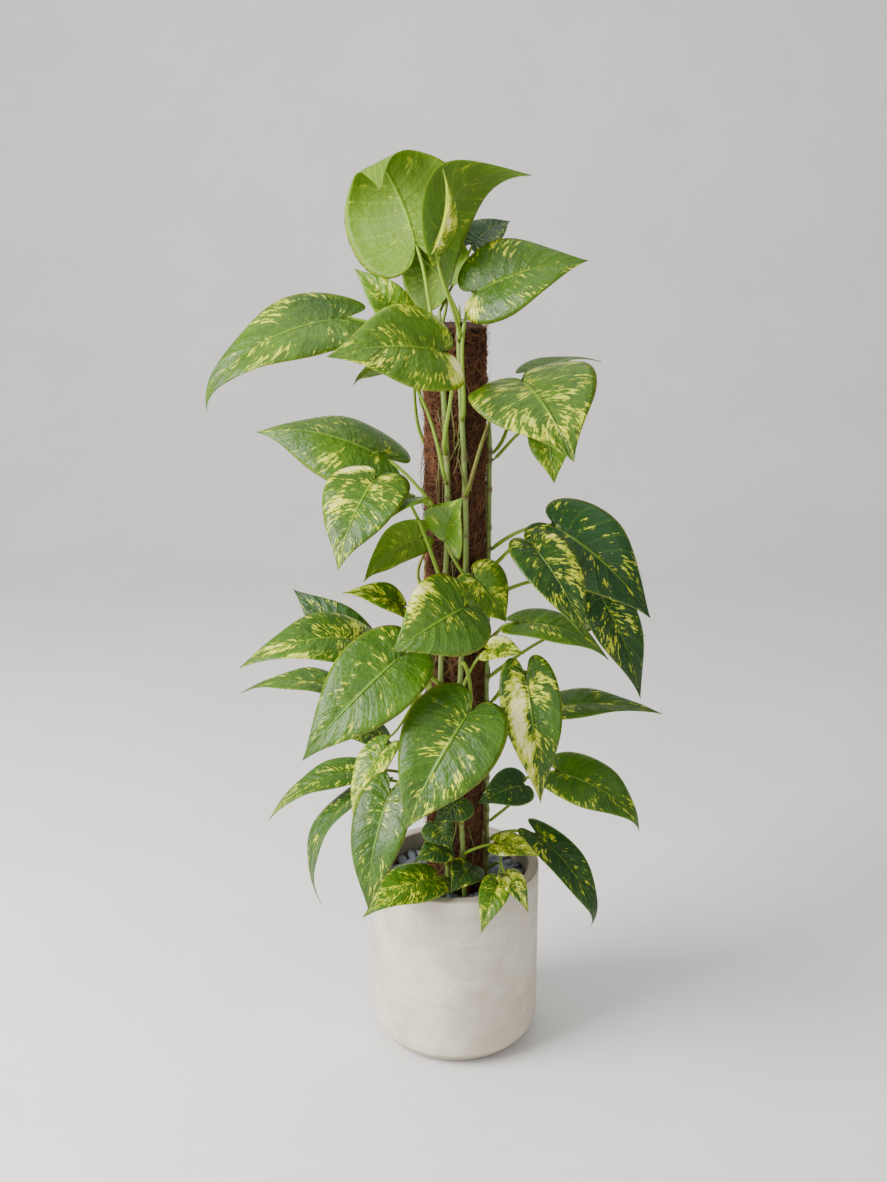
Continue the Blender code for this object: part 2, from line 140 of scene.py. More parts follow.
def useGroup(tree, group, inputs):
    node = tree.nodes.new("ShaderNodeGroup")
    node.node_tree = group
    for key, value in inputs.items():
        if isinstance(value, bpy.types.NodeSocket):
            tree.links.new(value, node.inputs[key])
        else:
            node.inputs[key].default_value = value
    return node.outputs


def newMaterial(name, **constants):
    mat = bpy.data.materials.new(name)
    mat.use_nodes = True
    shader = mat.node_tree.nodes["Principled BSDF"]
    for key, value in constants.items():
        shader.inputs[key.replace("_", " ")].default_value = value
    return mat, mat.node_tree, shader


# two sizes of noise mixed into one soft blotch, used by the concrete, the stones and the leaves
def blotchGroup():
    group, source, sink = newGroup(
        "softBlotches",
        [("Vector", "Vector", None), ("Scale", "Float", 8.0), ("Low", "Float", 0.4), ("High", "Float", 0.6)],
        [("Mask", "Float")])
    broad = noiseOf(group, source["Vector"], source["Scale"], 4.0, 0.6)
    fineScale = calc(group, "MULTIPLY", source["Scale"], 5.0)
    fine = noiseOf(group, source["Vector"], fineScale, 2.0, 0.5)
    mixed = calc(group, "ADD", calc(group, "MULTIPLY", broad, 0.75), calc(group, "MULTIPLY", fine, 0.25))
    group.links.new(rangeOf(group, mixed, source["Low"], source["High"]), sink["Mask"])
    return group


# fine grain for bump: noise at two scales, used by every rough surface
def grainGroup():
    group, source, sink = newGroup(
        "fineGrain",
        [("Vector", "Vector", None), ("Scale", "Float", 200.0), ("Coarse Share", "Float", 0.5)],
        [("Height", "Float")])
    fine = noiseOf(group, source["Vector"], source["Scale"], 2.0, 0.6)
    coarse = noiseOf(group, source["Vector"], calc(group, "MULTIPLY", source["Scale"], 0.22), 3.0, 0.5)
    share = calc(group, "MULTIPLY", coarse, source["Coarse Share"])
    rest = calc(group, "MULTIPLY", fine, calc(group, "SUBTRACT", 1.0, source["Coarse Share"]))
    group.links.new(calc(group, "ADD", share, rest), sink["Height"])
    return group


# leaf veins from the leaf's own map: Across is 0 at the midrib and 1 at the edge, Along runs from
# notch to tip along the side veins. Midrib = narrow line, Side = repeated fine lines, Height = quilting
def veinGroup():
    group, source, sink = newGroup(
        "leafVeins",
        [("Across", "Float", 0.0), ("Along", "Float", 0.0),
         ("Seed", "Float", 0.0), ("Pairs", "Float", 11.0)],
        [("Midrib", "Float"), ("Side", "Float"), ("Height", "Float")])
    midrib = rangeOf(group, source["Across"], 0.0, 0.055, 1.0, 0.0)
    step = calc(group, "MULTIPLY_ADD", source["Along"], source["Pairs"], source["Seed"])
    saw = calc(group, "FRACT", step)
    ridge = calc(group, "ABSOLUTE", calc(group, "SUBTRACT", saw, 0.5))
    side = rangeOf(group, ridge, 0.0, 0.10, 1.0, 0.0)
    fineSaw = calc(group, "FRACT", calc(group, "MULTIPLY", step, 4.0))
    fineRidge = calc(group, "ABSOLUTE", calc(group, "SUBTRACT", fineSaw, 0.5))
    quilt = calc(group, "MULTIPLY", calc(group, "SQRT", ridge), 0.55)
    height = calc(group, "MULTIPLY_ADD", fineRidge, 0.15, quilt)
    height = calc(group, "SUBTRACT", height, calc(group, "MULTIPLY", midrib, 0.9))
    group.links.new(midrib, sink["Midrib"])
    group.links.new(side, sink["Side"])
    group.links.new(height, sink["Height"])
    return group


# variegation: streaks drawn out along the side veins, gathered in patches. Amount 0 none, 1 strong
def variegationGroup():
    group, source, sink = newGroup(
        "variegation",
        [("Across", "Float", 0.0), ("Along", "Float", 0.0), ("Side", "Float", 0.0),
         ("Seed", "Float", 0.0), ("Amount", "Float", 0.3), ("Patch", "Float", 0.0)],
        [("Yellow", "Float"), ("Cream", "Float")])
    shifted = calc(group, "MULTIPLY_ADD", source["Side"], 3.7, source["Seed"])
    streakAt = put(group, "ShaderNodeCombineXYZ", {
        "X": calc(group, "MULTIPLY", source["Across"], 4.2),
        "Y": calc(group, "MULTIPLY", source["Along"], 62.0),
        "Z": shifted}).outputs[0]
    patchAt = put(group, "ShaderNodeCombineXYZ", {
        "X": calc(group, "MULTIPLY", source["Across"], 1.6),
        "Y": calc(group, "MULTIPLY", source["Along"], 5.5),
        "Z": calc(group, "ADD", shifted, 9.0)}).outputs[0]
    streak = noiseOf(group, streakAt, 1.0, 4.0, 0.62)
    patch = noiseOf(group, patchAt, 1.0, 3.0, 0.6)
    level = calc(group, "MULTIPLY_ADD", patch, 0.80, calc(group, "MULTIPLY", streak, 0.85))
    level = calc(group, "MULTIPLY_ADD", source["Amount"], 0.27, level)
    level = calc(group, "MULTIPLY_ADD", source["Patch"], 0.34, level)
    group.links.new(rangeOf(group, level, 0.985, 1.05), sink["Yellow"])
    group.links.new(rangeOf(group, level, 1.11, 1.21), sink["Cream"])
    return group


groups = {
    "blotch": blotchGroup(),
    "grain": grainGroup(),
    "veins": veinGroup(),
    "variegation": variegationGroup(),
}


def blotchOf(tree, vector, scale, low, high):
    inputs = {"Vector": vector, "Scale": scale, "Low": low, "High": high}
    return useGroup(tree, groups["blotch"], inputs)["Mask"]


def grainOf(tree, vector, scale, coarseShare):
    inputs = {"Vector": vector, "Scale": scale, "Coarse Share": coarseShare}
    return useGroup(tree, groups["grain"], inputs)["Height"]


def objectPlace(tree, stretch=(1, 1, 1)):
    place = put(tree, "ShaderNodeTexCoord").outputs["Object"]
    return put(tree, "ShaderNodeMapping", {"Vector": place, "Scale": stretch}).outputs[0]


def attributeOf(tree, name):
    return put(tree, "ShaderNodeAttribute", attribute_name=name).outputs["Fac"]


def bumpTo(tree, shader, height, distance, strength=1.0):
    inputs = {"Height": height, "Distance": distance, "Strength": strength}
    bump = put(tree, "ShaderNodeBump", inputs)
    tree.links.new(bump.outputs[0], shader.inputs["Normal"])


leafLook = {
    "dark": (0.012, 0.042, 0.002, 1),
    # painted reflection: a dark bluish green laid on the darker glossy leaves, standing in for the room
    # reflected in them
    "blue": (0.008, 0.050, 0.012, 1),
    "yellow": (0.56, 0.62, 0.016, 1),
    "cream": (0.90, 0.88, 0.36, 1),
    "under": (0.112, 0.200, 0.002, 1),
    "vein": (0.20, 0.36, 0.015, 1),
    "stalk": (0.200, 0.330, 0.022, 1),
    "stalkBrown": (0.120, 0.070, 0.020, 1),
}


# waxy leaf: green deepens by leaf (partly the leaf's own darker green, partly painted shade on leaves deep
# in the plant) and in soft clouds, darker leaves take a painted blue reflection, then streaks, veins and the
# paler underside
def leafMaterial(name, tint):
    mat, tree, shader = newMaterial(name, Specular_IOR_Level=0.30, Coat_Roughness=0.22, Coat_Weight=0.05,
                                    Subsurface_Weight=0.18, Subsurface_Scale=0.004)
    shader.inputs["Subsurface Radius"].default_value = (0.7, 1.0, 0.25)
    uv = put(tree, "ShaderNodeUVMap", uv_map="leafMap").outputs[0]
    split = put(tree, "ShaderNodeSeparateXYZ", {0: uv}).outputs
    offset = calc(tree, "MULTIPLY_ADD", split["X"], 2.0, -1.0)
    across = calc(tree, "ABSOLUTE", offset)
    side = calc(tree, "SIGN", offset)
    seed = attributeOf(tree, "seed")
    swept = calc(tree, "MULTIPLY_ADD", across, -0.15, split["Y"])
    where = {"Across": across, "Along": swept, "Seed": seed}
    veins = useGroup(tree, groups["veins"], where)
    spots = useGroup(tree, groups["variegation"], dict(
        where, Side=side, Amount=attributeOf(tree, "variegation"), Patch=attributeOf(tree, "creamPatch")))
    place = objectPlace(tree)
    cloud = blotchOf(tree, place, 14.0, 0.30, 0.70)
    alongVeins = put(tree, "ShaderNodeCombineXYZ", {
        "X": calc(tree, "MULTIPLY", offset, 1.5),
        "Y": calc(tree, "MULTIPLY", swept, 16.0),
        "Z": seed}).outputs[0]
    streaky = blotchOf(tree, alongVeins, 1.0, 0.38, 0.66)
    # each leaf's depth of green: partly its own darker green, partly painted shade on leaves set deep in the
    # plant
    depth = calc(tree, "MULTIPLY_ADD", attributeOf(tree, "greenDepthAndShade"), 1.15, -0.22)
    depth = calc(tree, "MULTIPLY_ADD", cloud, 0.45, depth, clamp=True)
    green = blendColour(tree, depth, tint, leafLook["dark"])
    # painted blue reflection on the darker leaves, by each leaf's share
    paintedBlueReflection = calc(tree, "MULTIPLY", attributeOf(tree, "paintedBlueReflection"), 0.8)
    green = blendColour(tree, paintedBlueReflection, green, leafLook["blue"])
    lime = blendColour(tree, 0.5, green, leafLook["yellow"])
    green = blendColour(tree, calc(tree, "MULTIPLY", streaky, 0.30), green, leafLook["dark"])
    edge = calc(tree, "MULTIPLY", rangeOf(tree, across, 0.93, 1.0), 0.35)
    green = blendColour(tree, calc(tree, "MULTIPLY", veins["Side"], 0.10), green, leafLook["vein"])
    green = blendColour(tree, edge, green, lime)
    top = blendColour(tree, calc(tree, "MULTIPLY", spots["Yellow"], 0.88), green, leafLook["yellow"])
    top = blendColour(tree, spots["Cream"], top, leafLook["cream"])
    top = blendColour(tree, calc(tree, "MULTIPLY", veins["Midrib"], 0.55), top, leafLook["vein"])
    below = blendColour(tree, 0.55, green, leafLook["under"])
    below = blendColour(tree, calc(tree, "MULTIPLY", spots["Yellow"], 0.5), below, leafLook["yellow"])
    ribs = calc(tree, "MAXIMUM", veins["Midrib"], calc(tree, "MULTIPLY", veins["Side"], 0.5))
    below = blendColour(tree, calc(tree, "MULTIPLY", ribs, 0.6), below, leafLook["vein"])
    under = attributeOf(tree, "underside")
    blade = blendColour(tree, under, top, below)
    brown = calc(tree, "MULTIPLY", attributeOf(tree, "stalkBrown"), cloud)
    stalkColour = blendColour(tree, brown, leafLook["stalk"], leafLook["stalkBrown"])
    stalk = attributeOf(tree, "stalk")
    tree.links.new(blendColour(tree, stalk, blade, stalkColour), shader.inputs["Base Color"])
    gloss = calc(tree, "MULTIPLY_ADD", under, 0.20, 0.34)
    gloss = calc(tree, "MULTIPLY_ADD", cloud, 0.10, gloss)
    tree.links.new(gloss, shader.inputs["Roughness"])
    grain = grainOf(tree, place, 900.0, 0.6)
    flat = calc(tree, "SUBTRACT", 1.0, stalk)
    relief = calc(tree, "MULTIPLY", veins["Height"], flat)
    relief = calc(tree, "MULTIPLY_ADD", grain, 0.15, relief)
    dimple = blotchOf(tree, place, 34.0, 0.2, 0.8)
    relief = calc(tree, "MULTIPLY_ADD", calc(tree, "MULTIPLY", dimple, flat), 1.0, relief)
    bumpTo(tree, shader, relief, 0.0024, 0.85)
    return mat


# stems share the stalks' greens, with brown rings where the nodes are and fine lengthwise lines
def stemMaterial():
    mat, tree, shader = newMaterial("climbingStem", Specular_IOR_Level=0.45, Coat_Weight=0.05)
    place = objectPlace(tree, (1, 1, 0.12))
    lines = grainOf(tree, place, 520.0, 0.5)
    cloud = blotchOf(tree, objectPlace(tree), 26.0, 0.42, 0.62)
    green = blendColour(tree, lines, (0.10, 0.19, 0.030, 1), (0.30, 0.40, 0.09, 1))
    green = blendColour(tree, calc(tree, "MULTIPLY", cloud, 0.35), green, leafLook["stalkBrown"])
    mark = attributeOf(tree, "nodeMark")
    colour = blendColour(tree, mark, green, (0.13, 0.085, 0.035, 1))
    tree.links.new(colour, shader.inputs["Base Color"])
    tree.links.new(calc(tree, "MULTIPLY_ADD", mark, 0.3, 0.42), shader.inputs["Roughness"])
    bumpTo(tree, shader, lines, 0.0006, 0.6)
    return mat


# pale cast concrete: soft clouds, faint level streaks, scattered pores, and painted shade that darkens the
# rim top and the inside of the wall
def concreteMaterial(rimHeight, wallRadius):
    mat, tree, shader = newMaterial("paleConcrete", Specular_IOR_Level=0.35)
    place = objectPlace(tree)
    level = objectPlace(tree, (1, 1, 9))
    cloud = blotchOf(tree, place, 9.0, 0.36, 0.66)
    streak = blotchOf(tree, level, 7.0, 0.50, 0.66)
    colour = blendColour(tree, cloud, (0.66, 0.600, 0.495, 1), (0.50, 0.440, 0.345, 1))
    colour = blendColour(tree, calc(tree, "MULTIPLY", streak, 0.55), colour, (0.47, 0.43, 0.36, 1))
    pale = blotchOf(tree, level, 4.0, 0.56, 0.70)
    colour = blendColour(tree, calc(tree, "MULTIPLY", pale, 0.5), colour, (0.83, 0.81, 0.76, 1))
    cells = put(tree, "ShaderNodeTexVoronoi", {"Vector": place, "Scale": 95.0, "Randomness": 1.0})
    hole = rangeOf(tree, cells.outputs["Distance"], 0.05, 0.14, 1.0, 0.0)
    lot = put(tree, "ShaderNodeSeparateXYZ", {0: cells.outputs["Color"]}).outputs["X"]
    chosen = rangeOf(tree, lot, 0.84, 0.87)
    pore = calc(tree, "MULTIPLY", hole, chosen)
    colour = blendColour(tree, calc(tree, "MULTIPLY", pore, 0.65), colour, (0.20, 0.17, 0.14, 1))
    parts = put(tree, "ShaderNodeSeparateXYZ", {0: place}).outputs
    # painted shade: a darker band on the rim top, where the leaves shade it
    lift = rangeOf(tree, parts["Z"], rimHeight - 0.0035, rimHeight - 0.0005)
    out = put(tree, "ShaderNodeVectorMath", {0: put(tree, "ShaderNodeCombineXYZ", {
        "X": parts["X"], "Y": parts["Y"], "Z": 0.0}).outputs[0]}, operation="LENGTH").outputs["Value"]
    # painted shade: the inside of the wall darkens below the rim
    innerWallShade = rangeOf(tree, out, wallRadius - 0.006, wallRadius - 0.003, 1.0, 0.0)
    rim = calc(tree, "MAXIMUM", lift, innerWallShade)
    # the darker colour laid on the rim top and the inside of the wall is painted shade
    colour = blendColour(tree, calc(tree, "MULTIPLY", rim, 0.75), colour, (0.315, 0.268, 0.215, 1))
    tree.links.new(colour, shader.inputs["Base Color"])
    tree.links.new(calc(tree, "MULTIPLY_ADD", cloud, 0.12, 0.66), shader.inputs["Roughness"])
    grain = grainOf(tree, place, 420.0, 0.55)
    relief = calc(tree, "SUBTRACT", calc(tree, "MULTIPLY", grain, 0.35), pore)
    bumpTo(tree, shader, relief, 0.0007, 0.8)
    return mat


# blue-grey slate: each stone has its own tone, with thin paler seams
def slateMaterial():
    mat, tree, shader = newMaterial("slateStone", Specular_IOR_Level=0.4)
    place = objectPlace(tree, (1, 1, 3.2))
    tone = attributeOf(tree, "tone")
    colour = blendColour(tree, tone, (0.040, 0.046, 0.060, 1), (0.175, 0.198, 0.235, 1))
    cloud = blotchOf(tree, place, 45.0, 0.40, 0.64)
    colour = blendColour(tree, calc(tree, "MULTIPLY", cloud, 0.45), colour, (0.26, 0.28, 0.31, 1))
    tree.links.new(colour, shader.inputs["Base Color"])
    tree.links.new(calc(tree, "MULTIPLY_ADD", cloud, 0.2, 0.50), shader.inputs["Roughness"])
    grain = grainOf(tree, place, 500.0, 0.6)
    bumpTo(tree, shader, grain, 0.0008, 0.8)
    return mat


def soilMaterial():
    mat, tree, shader = newMaterial("pottingMix", Specular_IOR_Level=0.2)
    place = objectPlace(tree)
    cloud = blotchOf(tree, place, 90.0, 0.42, 0.62)
    colour = blendColour(tree, cloud, (0.018, 0.012, 0.008, 1), (0.085, 0.055, 0.034, 1))
    tree.links.new(colour, shader.inputs["Base Color"])
    shader.inputs["Roughness"].default_value = 0.95
    grain = grainOf(tree, place, 300.0, 0.6)
    bumpTo(tree, shader, grain, 0.004, 1.0)
    return mat


# coir: red-brown fibre, light and dark by strand; on the core, painted shade darkens the hollows between the
# strands
def coirMaterial(name, dark, light):
    mat, tree, shader = newMaterial(name, Specular_IOR_Level=0.25)
    place = objectPlace(tree)
    tone = attributeOf(tree, "tone")
    cloud = blotchOf(tree, place, 60.0, 0.36, 0.64)
    # tone: on the core it is painted shade in the hollows between the strands, on the loose fibres each
    # strand's own colour
    mixed = calc(tree, "MULTIPLY_ADD", cloud, 0.5, calc(tree, "MULTIPLY", tone, 0.6), clamp=True)
    tree.links.new(blendColour(tree, mixed, dark, light), shader.inputs["Base Color"])
    shader.inputs["Roughness"].default_value = 0.88
    grain = grainOf(tree, place, 700.0, 0.5)
    bumpTo(tree, shader, grain, 0.0015, 0.9)
    return mat


def floorMaterial():
    mat, tree, shader = newMaterial("paleFloor", Specular_IOR_Level=0.3)
    place = objectPlace(tree)
    cloud = blotchOf(tree, place, 3.0, 0.35, 0.65)
    colour = blendColour(tree, cloud, (0.80, 0.785, 0.765, 1), (0.76, 0.745, 0.73, 1))
    tree.links.new(colour, shader.inputs["Base Color"])
    shader.inputs["Roughness"].default_value = 0.6
    return mat


def makeObject(name, verts, faces, mat, uv=None, attributes=None, smooth=True):
    mesh = bpy.data.meshes.new(name)
    mesh.from_pydata(verts, [], faces)
    if uv is not None:
        layer = mesh.uv_layers.new(name="leafMap")
        corners = np.empty(len(mesh.loops), np.int32)
        mesh.loops.foreach_get("vertex_index", corners)
        layer.data.foreach_set("uv", uv[corners].astype(np.float32).ravel())
    for key, values in (attributes or {}).items():
        data = mesh.attributes.new(key, "FLOAT", "POINT")
        data.data.foreach_set("value", np.asarray(values, np.float32).ravel())
    mesh.polygons.foreach_set("use_smooth", np.full(len(mesh.polygons), smooth))
    obj = bpy.data.objects.new(name, mesh)
    bpy.context.scene.collection.objects.link(obj)
    mesh.materials.append(mat)
    return obj


# quads between rows of a grid whose columns close into a ring
def ringFaces(rows, columns):
    r, c = np.meshgrid(np.arange(rows - 1), np.arange(columns), indexing="ij")
    a = (r * columns + c).ravel()
    b = (r * columns + (c + 1) % columns).ravel()
    return np.column_stack([a, b, b + columns, a + columns])


# the same rings closed into a skin by a fan at each end; the two poles come after the grid's points
def closedFaces(rows, columns):
    ring = np.arange(columns)
    ahead = (ring + 1) % columns
    end = (rows - 1) * columns
    pole = np.full(columns, rows * columns)
    faces = ringFaces(rows, columns).tolist()
    faces += np.column_stack([ahead, ring, pole]).tolist()
    return faces + np.column_stack([end + ring, end + ahead, pole + 1]).tolist()


def unit(v):
    v = np.asarray(v, float)
    return v / np.linalg.norm(v, axis=-1, keepdims=True)


def bezier(p0, p1, p2, p3, t):
    t = np.asarray(t, float)[:, None]
    return (1 - t) ** 3 * p0 + 3 * (1 - t) ** 2 * t * p1 + 3 * (1 - t) * t ** 2 * p2 + t ** 3 * p3


# many thin four-sided threads in one mesh: path is (threads, steps, 3), each step a small square of the
# given radius, square to the path and turned to face away from the pole's axis
def threadMesh(path, radius):
    count, steps = path.shape[:2]
    tangent = unit(np.gradient(path, axis=1) + 1e-7)
    side = unit(np.cross(tangent, unit(path * (1, 1, 0))) + 1e-6)
    top = np.cross(side, tangent)
    turn = np.linspace(0, 2 * np.pi, 4, endpoint=False)[:, None]
    disc = side[:, :, None] * np.cos(turn) + top[:, :, None] * np.sin(turn)
    points = path[:, :, None] + radius[..., None, None] * disc
    each = steps * 4
    quads = ringFaces(steps, 4)[:, ::-1]
    caps = np.array([[0, 1, 2, 3], [each - 1, each - 2, each - 3, each - 4]])
    step = (np.arange(count) * each)[:, None, None]
    faces = (np.concatenate([quads, caps])[None] + step).reshape(-1, 4).tolist()
    return points.reshape(-1, 3), faces, each


vineTable = {
    # name: direction round the pole in degrees (0 front, 90 right), sway, growing end above the rim
    "vine_front_left": (-20, 7, 0.790),
    "vine_front_right": (12, 6, 0.795),
    "vine_right": (80, 8, 0.640),
    "vine_back_left": (-125, 8, 0.700),
}
vineShape = {
    "ring": 0.0448,           # from the pole's axis to a stem's centre
    "radius": 0.0045,
    "bottom": 0.200,
    "rim": 0.270,
    "firstScar": 0.30,        # old nodes without a leaf, from here up
    "scarStep": 0.052,
    "nodeLength": 0.0030,
}


# a vine's centre line: a ring round the pole's axis, its angle swaying as a sine of the height
def vineCentre(vine, height):
    direction, sway, _ = vineTable[vine]
    angle = np.radians(direction + sway * np.sin((height - vineShape["rim"]) * 11 + direction + 3))
    ring = vineShape["ring"]
    return np.stack([ring * np.sin(angle), -ring * np.cos(angle), height + 0 * angle], -1)


leafShape = {
    "thickness": 0.0011,
    "midribDepth": 0.0016,
    "petioleRadius": 0.0022,
    "sheath": 1.45,
    "bladeRows": 54,
    "stalkRows": 12,
    "topLanes": 21,
    "ripple": 0.030,      # edge waves, as a share of the leaf's length
    "swell": 0.014,       # broad hollows and rises of the halves
    "droop": 0.05,        # how far the outer blade curls under, as a share of the width
    "tipDroop": 0.10,     # how far the end hangs, as a share of the length
    "tipStart": 0.78,     # where along the blade that begins
    "groove": 0.0012,
}


# small leaves have thinner stalks and blades
def leafSize(length):
    return 0.7 + 0.3 * min(1.0, length / 0.16)


# half outline of the heart-shaped blade: one curve round the lobe, one on to the drip tip
def halfOutline(s):
    lobe = [np.array(p) for p in ((0, 0), (-0.20, 0.06), (-0.17, 0.49), (0.20, 0.50))]
    tip = [np.array(p) for p in ((0.20, 0.50), (0.52, 0.51), (0.74, 0.13), (1.0, 0.0))]
    low = bezier(*lobe, np.clip(s / 0.45, 0, 1))
    high = bezier(*tip, np.clip((s - 0.45) / 0.55, 0, 1))
    return np.where((s < 0.45)[:, None], low, high)


# corners of a CAD leaf, ring by ring: its skin is 12 rings of 8 and a tip, and walking edge by edge from
# the tip meets one ring at a time. An edge that skips a ring brings a ninth corner too early: it is the one
# with the most edges leading further on, and it waits. The first ring returned is the one at the stem
def cadLeafRings(name):
    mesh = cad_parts[name].data
    points = np.array([corner.co[:] for corner in mesh.vertices])
    edges = np.array([edge.vertices[:] for edge in mesh.edges])
    points, merged = np.unique(points, axis=0, return_inverse=True)
    ends = merged.ravel()[edges]
    joined = np.zeros((len(points), len(points)), bool)
    joined[ends[:, 0], ends[:, 1]] = True
    joined |= joined.T
    np.fill_diagonal(joined, False)
    for tip in np.flatnonzero(joined.sum(axis=0) == 8):
        seen = np.arange(len(points)) == tip
        rings = []
        layer = seen
        while layer.any():
            met = np.flatnonzero(joined[layer].any(axis=0) & ~seen)
            if len(met) == 9:
                beyond = ~seen & ~np.isin(np.arange(len(points)), met)
                met = np.delete(met, joined[met][:, beyond].sum(axis=1).argmax())
            layer = np.isin(np.arange(len(points)), met)
            seen = seen | layer
            rings.append(points[layer])
        if [len(ring) for ring in rings] == [8] * 12 + [0]:
            return rings[-2::-1], points[tip]
    raise ValueError(name + " is not a skin of 12 rings and a tip")


cadLeaf = {
    "notchRing": 4,
    "wideRing": 8,
    "wideRow": 0.5,           # the wide ring's place s along the outline
    "collarShift": 1.3,       # the notch's top stands this many collars along the blade
}


# the leaf's own measures, read from its CAD node. Across joins the two edges of the wide ring; along runs
# to the tip from the notch's top, let down by half the thickness; up = along x across, away from the rib.
# Then width, bow and fold follow from y = width * outline + collar * (1 - s)^6 and
# height = length * bow * 4x(1 - x) + fold * |y|, taken at the wide ring
def measureLeaf(name):
    rings, tip = cadLeafRings(name)
    notch, wide = rings[cadLeaf["notchRing"]], rings[cadLeaf["wideRing"]]
    spans = np.linalg.norm(wide[:, None] - wide[None], axis=-1)
    one, other = np.unravel_index(spans.argmax(), spans.shape)
    across = unit(wide[one] - wide[other])

    notch = notch[np.argsort(np.abs((notch - tip) @ across))]     # ridge pair, four between, edge pair
    collar = np.ptp(notch @ across) / 2
    up = unit(notch[0] - notch[1])
    up = up * np.sign((notch[2:6].mean(axis=0) - notch[:2].mean(axis=0)) @ up)
    ridge = max(notch[0], notch[1], key=up.dot)
    length = np.linalg.norm(tip - ridge) + cadLeaf["collarShift"] * collar
    half = 0.5 * leafShape["thickness"] * leafSize(length)
    along = unit(tip - ridge + half * up)
    across = across * np.sign(np.cross(along, across) @ up)
    up = unit(np.cross(along, across))
    length = (tip - ridge) @ along + cadLeaf["collarShift"] * collar
    base = tip - length * along

    row = cadLeaf["wideRow"]
    edgeX, edgeY = halfOutline(np.array([row]))[0]
    reach = np.ptp(wide @ across) / 2
    width = (reach - collar * (1 - row) ** 6) / edgeY
    wide = wide[np.argsort(np.abs((wide - tip) @ across))]
    height = (wide - base) @ up
    middle = row ** 1.7
    bow = (height[:2].max() - half) / (length * 4 * middle * (1 - middle))
    fold = (height[6:].mean() - length * bow * 4 * edgeX * (1 - edgeX)) / reach
    return {"start": rings[0].mean(axis=0), "base": base, "along": along, "across": np.cross(up, along),
            "up": up, "length": length, "width": width, "bow": bow, "fold": fold}


# leaves whose end rolls over: share of the length where it starts, radius, way (-1 under, 1 over)
leafRolls = {
    "leaf_crown_left": (0.66, 0.014, -1),
    "leaf_upper_left_long": (0.80, 0.040, -1),
    "leaf_upper_left_low": (0.78, 0.030, -1),
    "leaf_lower_right_arched": (0.74, 0.045, -1),
    "leaf_rim_right_long": (0.74, 0.045, -1),
}


# beyond the start the sheet is wrapped round a cylinder: angle = distance / radius, up to 2.4 radians,
# and runs on straight after that
def rollEnd(x, z, start, radius, way):
    past = np.clip(x - start, 0, None)
    angle = np.minimum(past / radius, 2.4)
    rest = past - angle * radius
    turned = start + radius * np.sin(angle) + rest * np.cos(angle)
    lift = radius * (1 - np.cos(angle)) + rest * np.sin(angle)
    return np.where(past > 0, turned, x), z + way * lift


